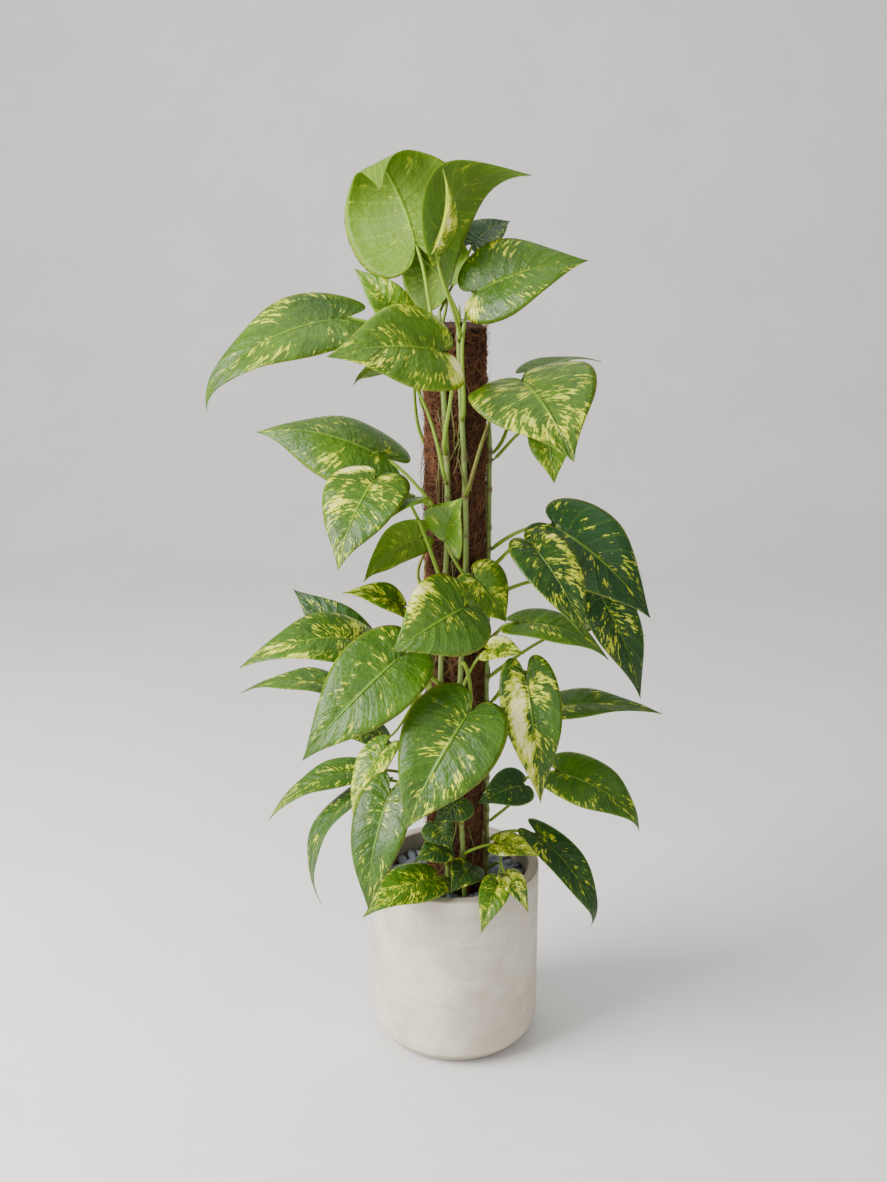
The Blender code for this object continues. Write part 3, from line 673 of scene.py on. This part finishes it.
# one closed leaf. Stalk: rings of a circle carried along a bezier from the vine to the blade's notch.
# Blade: rows s from notch to tip, lanes u from -1 to 1 over the top and back underneath;
# height = length * bow * 4x(1 - x) + fold * |y| - droop * u^4 + ripple * |u|^3 * sin(waves * s)
#          + swell * |u| * sin(5.5 s) * sin(pi s) - tipDroop * (x - tipStart)^1.5
def leafPiece(name, look, seed, mat):
    depthAndShade, streaks, blue, ripple, patch = look
    leaf = leafMeasures[name]
    start, base, along, across, up = [leaf[key] for key in ("start", "base", "along", "across", "up")]
    length, width, bow, fold = [leaf[key] for key in ("length", "width", "bow", "fold")]
    size = leafSize(length)
    away = unit(start * (1, 1, 0))

    span = np.linalg.norm(base - start)
    course = unit(base - start)
    course = unit(course - min(0.0, course.dot(along)) * along + 0.5 * along)
    collar = 1.4 * leafShape["petioleRadius"] * size
    joint = base - 1.8 * collar * course
    p1 = start + 0.22 * span * away + np.array([0, 0, 0.20 * span])
    p2 = joint - 0.34 * span * course
    t = np.linspace(0, 1, leafShape["stalkRows"])
    centres = bezier(start, p1, p2, joint, t)
    tangents = unit(np.gradient(centres, axis=0))
    tangents[0] = away
    side = np.cross(np.cross(tangents, across), tangents)
    turned = np.cross(unit(base - start), along)
    side = unit(side + 1e-4 * turned)
    top = np.cross(tangents, side)

    lanes = leafShape["topLanes"]
    u = np.concatenate([np.linspace(-1, 1, lanes), np.linspace(1, -1, lanes)[1:-1]])
    over = np.concatenate([np.ones(lanes), -np.ones(lanes - 2)])
    angle = np.radians(90 * (1 - u)) * over
    radius = leafShape["petioleRadius"] * size * (1 + (leafShape["sheath"] - 1) * (1 - t) ** 2)
    disc = np.cos(angle)[None, :, None] * side[:, None] + np.sin(angle)[None, :, None] * top[:, None]
    stalk = centres[:, None] + radius[:, None, None] * disc

    s = np.linspace(0, 1, leafShape["bladeRows"] + 1)[:-1] ** 1.05
    middle = (s ** 1.7)[:, None]
    margin = halfOutline(s)
    near = ((1 - s) ** 6)[:, None]
    rng = np.random.default_rng(seed)
    phase = rng.uniform(0, 6.28, 2)
    waves = rng.uniform(12, 17)
    x = middle + (margin[:, :1] - middle) * np.abs(u)
    y = margin[:, 1:] * u * width + collar * near * u
    edge = np.abs(u) ** 3 * margin[:, 1:] * 2
    ridges = np.sin(waves * s[:, None] + np.where(u > 0, phase[0], phase[1]) + 0.8 * u)
    swell = np.sin(5.5 * s[:, None] + phase[1] + 1.6 * u) * np.sin(np.pi * s[:, None])
    z = length * bow * 4 * x * (1 - x) + fold * np.abs(y)
    z = z + leafShape["ripple"] * ripple * length * edge * ridges
    z = z + leafShape["swell"] * length * swell * np.abs(u)
    z = z - leafShape["droop"] * width * edge * np.abs(u) * (1 - near)
    hang = np.clip(x - leafShape["tipStart"], 0, 1) ** 1.5
    z = z - leafShape["tipDroop"] * length * hang * (1 if bow >= 0 else -1)
    groove = -leafShape["groove"] * size * np.exp(-(u / 0.05) ** 2) * (1 - s[:, None])
    skin = np.sqrt(np.clip(1 - np.abs(u) ** 6, 0, 1)) * 0.5 * leafShape["thickness"] * size * over
    rib = np.exp(-(u / 0.07) ** 2) * (over < 0) * leafShape["midribDepth"] * size * (1 - middle)
    x = length * x + 1.3 * collar * near * (1 - 2 * np.abs(u))
    lift = z + skin + groove * (over > 0) - rib
    tipX, tipZ = np.array(length), np.array(0.0)
    if name in leafRolls:
        begin, roll, way = leafRolls[name]
        x, lift = rollEnd(x, lift, begin * length, roll, way)
        tipX, tipZ = rollEnd(tipX, tipZ, begin * length, roll, way)
    grid = base + x[..., None] * along + y[..., None] * across + lift[..., None] * up

    points = np.concatenate([stalk, grid])
    rows, columns = points.shape[:2]
    verts = np.concatenate([points.reshape(-1, 3), centres[:1], (base + tipX * along + tipZ * up)[None]])
    faces = closedFaces(rows, columns)
    stalkRows = len(t)
    alongMap = np.concatenate([np.zeros((stalkRows, columns)), s[:, None] + 0 * u])
    uv = np.stack([0.5 + 0.5 * np.tile(u, (rows, 1)), alongMap], -1).reshape(-1, 2)
    uv = np.concatenate([uv, [[0.5, 0], [0.5, 1]]])
    below = np.tile(over < 0, (rows, 1)).ravel()
    isStalk = np.repeat(np.arange(rows) < stalkRows, columns)
    patchAmount = np.zeros((rows, columns))
    if patch:
        gap = (u[None] - patch[0]) ** 2 / (patch[2] * 1.2) ** 2 + (alongMap - patch[1]) ** 2 / patch[2] ** 2
        patchAmount = np.exp(-gap)
        patchAmount[:stalkRows] = 0
    count = len(verts)
    attributes = {
        "underside": np.append(below, [0, 0]),
        "stalk": np.append(isStalk, [1, 0]),
        "seed": np.full(count, seed * 7.31),
        "greenDepthAndShade": np.full(count, depthAndShade),
        "variegation": np.full(count, streaks),
        "paintedBlueReflection": np.full(count, blue),
        "creamPatch": np.append(patchAmount.ravel(), [0, 0]),
        "stalkBrown": np.full(count, 1.0 if seed % 7 == 3 else 0.15),
    }
    return makeObject(name.replace("leaf_", "leafSkin_"), verts, faces, mat, uv, attributes)


# greens by tier: the middle, lower and rim tiers are darker, as painted shade under the leaves above
leafTints = {
    "crown": (0.128, 0.250, 0.002, 1),
    "upper": (0.118, 0.240, 0.002, 1),
    "middle": (0.094, 0.205, 0.002, 1),
    "lower": (0.090, 0.205, 0.002, 1),
    "rim": (0.070, 0.170, 0.002, 1),
}
leafLooks = {
    # name: depth of green (partly painted shade), variegation, painted blue reflection, ripple of the edge,
    # cream patch or None;
    #       a patch is its place across (-1 to 1), its place along (0 to 1) and its size
    "leaf_crown_left": (0.25, 0.1, 0.0, 0.5, None),
    "leaf_crown_right": (0.35, 0.15, 0.0, 0.5, None),
    "leaf_crown_new": (0.1, 0.3, 0.0, 0.2, (0.2, 0.3, 0.6)),
    "leaf_crown_back": (0.45, 0.05, 0.0, 0.4, None),
    "leaf_crown_far": (0.85, 0.1, 0.4, 0.4, None),
    "leaf_upper_right": (0.5, 0.12, 0.2, 0.6, (-0.8, 0.05, 0.3)),
    "leaf_upper_left_long": (0.5, 0.2, 0.1, 0.6, None),
    "leaf_upper_left_back": (0.15, 0.3, 0.0, 0.6, None),
    "leaf_upper_front": (0.35, 0.26, 0.1, 0.6, (0.8, 0.1, 0.3)),
    "leaf_upper_left_low": (0.25, 0.14, 0.0, 0.5, None),
    "leaf_upper_right_front": (0.45, 0.42, 0.15, 0.7, None),
    "leaf_upper_right_under": (0.3, 0.35, 0.0, 0.8, None),
    "leaf_upper_right_back": (0.45, 0.1, 0.1, 0.4, None),
    "leaf_middle_left_under": (0.35, 0.2, 0.1, 0.5, None),
    "leaf_middle_left_front": (0.5, 0.42, 0.1, 0.8, (-0.95, 0.2, 0.16)),
    "leaf_middle_left_inner": (0.25, 0.1, 0.0, 0.6, None),
    "leaf_middle_front_folded": (0.15, 0.15, 0.0, 0.4, None),
    "leaf_middle_left_lower": (0.3, 0.25, 0.0, 0.5, None),
    "leaf_middle_front": (0.45, 0.16, 0.1, 0.4, (-0.85, 0.55, 0.2)),
    "leaf_middle_front_small": (0.25, 0.45, 0.0, 0.5, None),
    "leaf_middle_left_small": (0.35, 0.6, 0.0, 0.6, None),
    "leaf_middle_right_top": (0.92, 0.24, 0.6, 0.4, None),
    "leaf_middle_right_front": (0.75, 0.34, 0.4, 0.4, None),
    "leaf_middle_right_low": (0.85, 0.22, 0.4, 0.5, None),
    "leaf_middle_right_flat": (0.35, 0.15, 0.0, 0.4, None),
    "leaf_middle_right_back": (0.4, 0.5, 0.0, 0.4, None),
    "leaf_middle_right_small": (0.3, 0.6, 0.0, 0.6, (0.8, 0.5, 0.3)),
    "leaf_lower_left_streaked": (0.45, 0.42, 0.1, 0.6, None),
    "leaf_lower_left_back": (0.75, 0.2, 0.3, 0.5, None),
    "leaf_lower_left_inner": (0.7, 0.2, 0.2, 0.5, None),
    "leaf_lower_left_big": (0.42, 0.12, 0.1, 0.4, None),
    "leaf_lower_left_narrow": (0.45, 0.26, 0.1, 0.5, None),
    "leaf_lower_front": (0.5, 0.14, 0.1, 0.4, None),
    "leaf_lower_right_cream": (0.6, 0.42, 0.2, 0.4, (-0.45, 0.5, 0.26)),
    "leaf_lower_right_level": (0.4, 0.3, 0.1, 0.4, None),
    "leaf_lower_right_arched": (0.45, 0.28, 0.1, 0.5, None),
    "leaf_lower_right_inner": (0.8, 0.15, 0.3, 0.4, None),
    "leaf_lower_front_inner": (0.75, 0.2, 0.2, 0.4, None),
    "leaf_lower_left_thin": (0.5, 0.3, 0.3, 0.5, None),
    "leaf_lower_left_yellow": (0.25, 0.55, 0.0, 0.5, None),
    "leaf_lower_left_curved": (0.6, 0.18, 0.3, 0.4, None),
    "leaf_lower_left_hanging": (0.55, 0.2, 0.2, 0.4, None),
    "leaf_lower_left_under": (0.6, 0.2, 0.1, 0.4, None),
    "leaf_rim_left": (0.35, 0.42, 0.0, 0.7, None),
    "leaf_rim_inner_upper": (0.8, 0.1, 0.2, 0.4, None),
    "leaf_rim_inner_lower": (0.75, 0.15, 0.2, 0.4, None),
    "leaf_rim_front_left": (0.8, 0.2, 0.2, 0.4, None),
    "leaf_rim_front_middle": (0.7, 0.25, 0.2, 0.4, None),
    "leaf_rim_front_yellow": (0.15, 0.45, 0.0, 0.4, None),
    "leaf_rim_front_streaked": (0.6, 0.7, 0.4, 0.4, None),
    "leaf_rim_right_yellow": (0.35, 0.7, 0.0, 0.4, None),
    "leaf_rim_right_long": (0.8, 0.18, 0.3, 0.4, None),
}


leafMeasures = {name: measureLeaf(name) for name in leafLooks}
print("leaves measured:", len(leafMeasures))


def buildLeaves():
    mats = {tier: leafMaterial(tier + "LeafSkin", tint) for tier, tint in leafTints.items()}
    for seed, (name, look) in enumerate(leafLooks.items()):
        tier = name.split("_")[1]
        piece = leafPiece(name, look, seed, mats[tier])
        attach(piece, "root")
        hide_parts(name)
    print("leaves built:", len(leafLooks))


# stem: circle rings up the centre line; radius swells as a narrow bell at every leaf and old node. A leaf
# belongs to the stem whose centre line is nearest to where its stalk starts
def buildVines():
    mat = stemMaterial()
    starts = np.array([leaf["start"] for leaf in leafMeasures.values()])
    apart = [np.linalg.norm(vineCentre(name, starts[:, 2]) - starts, axis=1) for name in vineTable]
    nearest = np.argmin(apart, axis=0)
    for index, (name, (_, _, topRise)) in enumerate(vineTable.items()):
        top = vineShape["rim"] + topRise
        heights = np.linspace(vineShape["bottom"], top, 220)
        centres = vineCentre(name, heights)
        scars = np.arange(vineShape["firstScar"], top, vineShape["scarStep"])
        nodes = np.concatenate([starts[nearest == index, 2], scars])
        bell = np.exp(-((heights[:, None] - nodes - 0.001) / vineShape["nodeLength"]) ** 2).max(axis=1)
        taper = np.clip((top + 0.006 - heights) / 0.03, 0.12, 1) ** 0.5
        radius = vineShape["radius"] * (0.80 + 0.28 * bell) * taper
        turn = np.linspace(0, 2 * np.pi, 16, endpoint=False)
        disc = np.column_stack([np.cos(turn), np.sin(turn), 0 * turn])
        points = centres[:, None] + radius[:, None, None] * disc
        rows, columns = points.shape[:2]
        verts = np.concatenate([points.reshape(-1, 3), centres[:1], centres[-1:] + [0, 0, 0.005]])
        faces = closedFaces(rows, columns)
        mark = np.append(np.repeat(bell, columns), [0, 0])
        piece = makeObject(name.replace("vine_", "stem_"), verts, faces, mat, None, {"nodeMark": mark})
        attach(piece, "root")
        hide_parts(name)
    print("stems built:", len(vineTable))


rootShape = {
    "count": 150,
    "length": (0.030, 0.110),
    "radius": (0.00045, 0.00105),
    "offset": 0.0425,          # from the pole's axis
    "spread": 0.30,            # radians either side of the stem
    "lowest": 0.246,           # height of the stones
    "seed": 31,
}


# aerial roots: threads that leave a stem, wander over the pole's skin and sag;
# angle and height are straight runs plus two sines of the way along
def buildAerialRoots():
    shape = rootShape
    rng = np.random.default_rng(shape["seed"])
    count, steps = shape["count"], 12
    names = list(vineTable)
    t = np.linspace(0, 1, steps)[None, :]
    which = rng.integers(0, len(names), count)
    direction = np.array([vineTable[name][0] for name in names])[which][:, None]
    ceiling = np.array([vineTable[name][2] for name in names])[which][:, None]
    begin = vineShape["rim"] + ceiling * rng.uniform(0.0, 0.92, count)[:, None] ** 1.2
    length = rng.uniform(*shape["length"], count)[:, None]
    turnBy = rng.normal(0, shape["spread"], count)[:, None]
    wander = rng.uniform(0.02, 0.10, count)[:, None] * np.sin(7 * t + rng.uniform(0, 6.28, count)[:, None])
    angle = np.radians(direction) + rng.normal(0, 0.12, count)[:, None] + turnBy * t + wander * t
    stand = rng.uniform(0, 0.006, count)[:, None] * np.sin(np.pi * t)
    height = np.clip(begin - length * t, shape["lowest"], None)
    radius = shape["offset"] + stand
    path = np.stack([radius * np.sin(angle), -radius * np.cos(angle), height], -1)
    thick = rng.uniform(*shape["radius"], count)[:, None] * (1 - 0.6 * t)
    verts, faces, each = threadMesh(path, thick)
    mark = np.repeat(rng.uniform(0.2, 1, count), each)
    piece = makeObject("aerialRoots", verts, faces, stemMaterial(), None, {"nodeMark": mark})
    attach(piece, "root")
    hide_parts(*names)
    print("aerial roots built:", count)


potShape = {
    "radius": 0.120,
    "height": 0.270,
    "wall": 0.015,
    "floor": 0.018,
    "footRound": 0.038,
    "innerRound": 0.024,
    "rimRound": 0.003,
    "sides": 144,
}


def arcPoints(centre, radius, first, last, steps):
    angle = np.radians(np.linspace(first, last, steps))
    return [(centre[0] + radius * c, centre[1] + radius * s) for c, s in zip(np.cos(angle), np.sin(angle))]


# pot: profile (radius, height) turned round the axis; poles on the axis close the base and the floor
def buildPot():
    shape = potShape
    outer, inner, top = shape["radius"], shape["radius"] - shape["wall"], shape["height"]
    foot, hollow, rim = shape["footRound"], shape["innerRound"], shape["rimRound"]
    profile = [(outer - foot - 0.03, 0.0)]
    profile += arcPoints((outer - foot, foot), foot, -90, 0, 22)
    profile += [(outer, height) for height in np.linspace(foot, top - rim, 20)[1:-1]]
    profile += arcPoints((outer - rim, top - rim), rim, 0, 90, 7)
    profile += arcPoints((inner + rim, top - rim), rim, 90, 180, 7)
    profile += [(inner, height) for height in np.linspace(top - rim, shape["floor"] + hollow, 12)[1:-1]]
    profile += arcPoints((inner - hollow, shape["floor"] + hollow), hollow, 0, -90, 12)
    profile = np.array(profile)
    turn = np.linspace(0, 2 * np.pi, shape["sides"], endpoint=False)
    wobble = 1 + 0.0012 * np.sin(3 * turn[None] + 9 * profile[:, 1:]) * (profile[:, :1] > 0.1)
    radius = profile[:, :1] * wobble
    points = np.stack([radius * np.sin(turn), -radius * np.cos(turn), profile[:, 1:] + 0 * turn], -1)
    rows, columns = points.shape[:2]
    verts = np.concatenate([points.reshape(-1, 3), [[0, 0, 0]], [[0, 0, shape["floor"]]]])
    faces = closedFaces(rows, columns)
    piece = makeObject("concretePot", verts, faces, concreteMaterial(top, outer))
    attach(piece, "root")
    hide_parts("pot")
    print("pot built")


stoneBed = {
    "count": 150,
    "inner": 0.052,
    "outer": 0.1005,
    "floor": 0.2315,
    "length": (0.0090, 0.0160),   # half sizes, metres
    "width": (0.0070, 0.0115),
    "depth": (0.0035, 0.0062),
    "lift": (0.003, 0.0115),      # centres above the floor
    "reach": 0.1035,              # no stone's length goes past this
    "wall": 0.1043,               # and none of its points past this
    "spiral": 2.39996,            # golden angle
    "seed": 21,
}


# slate bed: stones laid on a sunflower spiral. Each is an ellipsoid squared off by a power of its
# direction and dented with two sines, tipped a little and turned at random
def buildStones():
    bed = stoneBed
    rng = np.random.default_rng(bed["seed"])
    count = bed["count"]
    index = np.arange(count)
    share = (index + 0.5) / count
    radius = np.sqrt(bed["inner"] ** 2 + share * (bed["outer"] ** 2 - bed["inner"] ** 2))
    angle = index * bed["spiral"] + rng.uniform(-0.05, 0.05, count)
    lift = bed["floor"] + rng.uniform(*bed["lift"], count)
    half = np.stack([rng.uniform(*bed[key], count) for key in ("length", "width", "depth")], -1)
    radius = np.minimum(radius, bed["reach"] - half[:, 0] * 0.9)
    centre = np.stack([radius * np.sin(angle), -radius * np.cos(angle), lift], -1)

    rings, columns = 5, 9
    polar = np.linspace(0, np.pi, rings + 2)[1:-1]
    turn = np.linspace(0, 2 * np.pi, columns, endpoint=False)
    ball = np.stack([
        np.sin(polar)[:, None] * np.cos(turn),
        np.sin(polar)[:, None] * np.sin(turn),
        np.cos(polar)[:, None] + 0 * turn], -1).reshape(-1, 3)
    ball = np.concatenate([ball, [[0, 0, 1], [0, 0, -1]]])
    boxy = np.sign(ball) * np.abs(ball) ** 0.72
    phase = rng.uniform(0, 6.28, (count, 1, 3))
    dents = 1 + 0.10 * np.sin(3.1 * ball[None] + phase)
    dents = dents + 0.06 * np.sin(6.3 * ball[None, :, ::-1] + 2 * phase)
    points = boxy[None] * dents * half[:, None]
    spin = rng.uniform(0, 6.28, count)
    tip = rng.normal(0, 0.22, (2, count))
    cs, sn = np.cos(spin)[:, None], np.sin(spin)[:, None]
    x = points[..., 0] * cs - points[..., 1] * sn
    y = points[..., 0] * sn + points[..., 1] * cs
    z = points[..., 2] + tip[0][:, None] * x + tip[1][:, None] * y
    points = np.stack([x, y, z], -1) + centre[:, None]
    flat = np.hypot(points[..., 0], points[..., 1])
    limit = np.clip(flat, None, bed["wall"]) / np.maximum(flat, 1e-6)
    points[..., :2] *= limit[..., None]

    each = len(ball)
    quads = ringFaces(rings, columns)[:, ::-1]
    ring = np.arange(columns)
    ahead = (ring + 1) % columns
    top = np.column_stack([ring, ahead, np.full(columns, each - 2)])
    end = (rings - 1) * columns
    bottom = np.column_stack([end + ahead, end + ring, np.full(columns, each - 1)])
    step = (np.arange(count) * each)[:, None, None]
    faces = (quads[None] + step).reshape(-1, 4).tolist()
    faces += (top[None] + step).reshape(-1, 3).tolist() + (bottom[None] + step).reshape(-1, 3).tolist()
    tone = np.repeat(rng.uniform(0, 1, count), each)
    piece = makeObject("slateStones", points.reshape(-1, 3), faces, slateMaterial(), None, {"tone": tone})
    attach(piece, "root")
    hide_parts("pebble_layer")
    print("stones laid:", count)


coirShape = {
    "radius": 0.0385,
    "top": 1.0375,
    "bottom": 0.0185,
    "bumps": 0.0034,
    "fibres": 5400,
    "fibreLength": (0.012, 0.045),
    "fibreRadius": (0.00028, 0.00070),
    "fibreFrom": 0.262,       # lowest place where a fibre starts
    "fibreLowest": 0.252,     # and lowest place it reaches, just over the stones
    "fibreStand": 0.0006,     # off the core's mean skin
    "fibreLift": 0.011,       # how far the loosest ends stand off
    "seed": 5,
    "dark": (0.012, 0.005, 0.003, 1),
    "light": (0.090, 0.034, 0.015, 1),
    "fibreDark": (0.038, 0.014, 0.007, 1),
    "fibreLight": (0.290, 0.125, 0.055, 1),
}


# coir core: a cylinder whose radius is raised by crossed sines of angle and height, like bound matting
def buildCoirCore():
    shape = coirShape
    turn = np.linspace(0, 2 * np.pi, 120, endpoint=False)
    height = np.linspace(shape["bottom"], shape["top"], 420)[:, None]
    rough = np.sin(turn * 9 + height * 160) * np.sin(turn * 5 - height * 230)
    rough = rough + 0.6 * np.sin(turn * 17 + height * 61)
    rough = rough + 0.5 * np.sin(turn * 23 - height * 410)
    rng = np.random.default_rng(shape["seed"])
    rough = rough + rng.normal(0, 0.55, rough.shape)
    rough = (rough + np.roll(rough, 1, 0) + np.roll(rough, 1, 1)) / 2
    shoulder = np.clip((shape["top"] - height) / 0.004, 0, 1) ** 0.5
    radius = (shape["radius"] + shape["bumps"] * 0.45 * rough) * (0.88 + 0.12 * shoulder)
    points = np.stack([radius * np.sin(turn), -radius * np.cos(turn), height + 0 * turn], -1)
    rows, columns = points.shape[:2]
    verts = np.concatenate([points.reshape(-1, 3), [[0, 0, shape["bottom"]], [0, 0, shape["top"] - 0.002]]])
    faces = closedFaces(rows, columns)
    # the core's tone follows its bumps: painted shade, darker in the hollows between the strands and lighter
    # on the rises
    tone = np.append((rough.ravel() + 2) / 4, [0.5, 0.5])
    mat = coirMaterial("coirCore", shape["dark"], shape["light"])
    piece = makeObject("coirCore", verts, faces, mat, None, {"tone": tone})
    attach(piece, "root")
    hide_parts("coir_pole")


# loose fibres: each a short arc over the pole's skin, whose heading turns evenly and which lifts off the
# skin as the square of the way along
def buildCoirFibres():
    shape = coirShape
    rng = np.random.default_rng(shape["seed"])
    count, steps = shape["fibres"], 5
    t = np.linspace(0, 1, steps)[None, :]
    length = rng.uniform(*shape["fibreLength"], count)[:, None]
    thick = rng.uniform(*shape["fibreRadius"], count)[:, None]
    angle0 = rng.uniform(0, 2 * np.pi, count)[:, None]
    height0 = rng.uniform(shape["fibreFrom"], shape["top"] - 0.004, count)[:, None]
    slope = rng.normal(0, 0.9, count)[:, None]
    bend = rng.normal(0, 0.6, count)[:, None]
    lift = (rng.uniform(0, 1, count) ** 2.2)[:, None] * shape["fibreLift"]
    heading = slope + bend * t
    radius = shape["radius"] + shape["fibreStand"] + 0.0014 * np.sin(np.pi * t) + lift * t ** 2
    angle = angle0 + length * t * np.sin(heading) / shape["radius"]
    updown = np.where(rng.uniform(0, 1, count) < 0.5, 1, -1)[:, None]
    height = height0 + length * t * np.cos(heading) * updown
    height = np.clip(height, shape["fibreLowest"], shape["top"] + 0.0015)
    path = np.stack([radius * np.sin(angle), -radius * np.cos(angle), height], -1)
    verts, faces, each = threadMesh(path, (1 - 0.75 * t) * thick)
    tone = np.repeat(rng.uniform(0, 1, count), each)
    mat = coirMaterial("coirFibre", shape["fibreDark"], shape["fibreLight"])
    piece = makeObject("coirFibres", verts, faces, mat, None, {"tone": tone})
    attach(piece, "root")
    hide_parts("coir_pole")
    print("coir pole built:", count, "fibres")


# floor: a wide flat sheet that sweeps up behind the plant as a quarter circle
def addFloor():
    x = np.linspace(-6, 6, 2)
    angle = np.radians(np.linspace(0, 90, 16))
    depth = np.concatenate([[-6.0], 2.2 + 1.5 * np.sin(angle), [3.7]])
    height = np.concatenate([[0.0], 1.5 - 1.5 * np.cos(angle), [6.0]]) - 0.0004
    points = np.stack(np.meshgrid(x, depth, indexing="xy") + [np.repeat(height[:, None], 2, 1)], -1)
    row = np.arange(len(depth) - 1)[:, None] * 2
    faces = (row + [0, 1, 3, 2]).tolist()
    floor = makeObject("paleFloor", points.reshape(-1, 3), faces, floorMaterial())


addCamera()
addLights()
addFloor()
buildPot()
buildStones()
buildCoirCore()
buildCoirFibres()
buildVines()
buildAerialRoots()
buildLeaves()

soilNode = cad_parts["soil"]
soilNode.data.materials.clear()
soilNode.data.materials.append(soilMaterial())
print("soil dressed")
